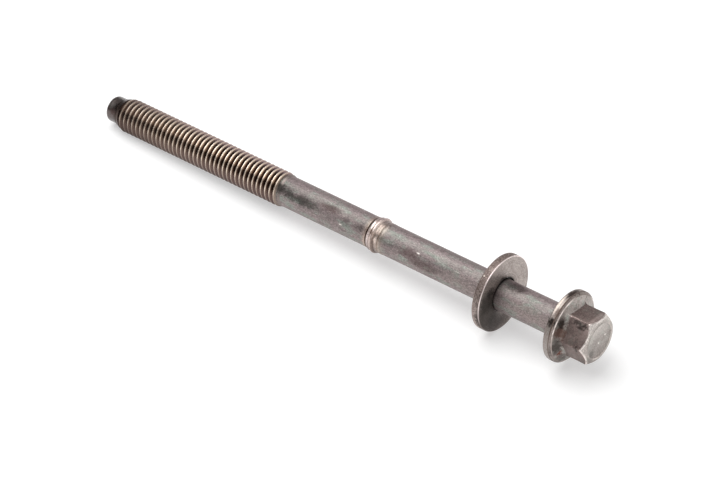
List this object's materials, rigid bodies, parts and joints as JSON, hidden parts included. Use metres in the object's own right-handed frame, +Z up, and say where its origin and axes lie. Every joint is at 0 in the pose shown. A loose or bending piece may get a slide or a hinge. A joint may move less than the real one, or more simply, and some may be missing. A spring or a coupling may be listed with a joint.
{
  "type": "cylinder head bolt",
  "caption": "Long cylinder head bolt lying on its loose washer: hex flange head, plain shank with rolled retaining ridges, rolled thread and a pilot tip.",
  "frame": {"origin": "on the surface that the bolt lies on, under the middle of its box", "axes": "+Z up, +X along the bolt towards its head, whose axis rises 2.48 degrees towards the head"},
  "size_m": [0.216, 0.0274, 0.0276],
  "materials": {
    "bolt_steel": "heat treated alloy steel, worn and stained, with polished thread crests",
    "washer_steel": "stamped hardened steel, brown on its rim, bright on its bevelled edge"
  },
  "bodies": {
    "bolt": {"head_bolt": "bolt_steel"},
    "washer": {"washer": "washer_steel"}
  },
  "joints": [
    {"name": "washer_slide", "type": "slide", "parent": "bolt", "child": "washer", "axis": [0.9991, 0, 0.0433], "range_m": [-0.0457, 0.02555]}
  ]
}
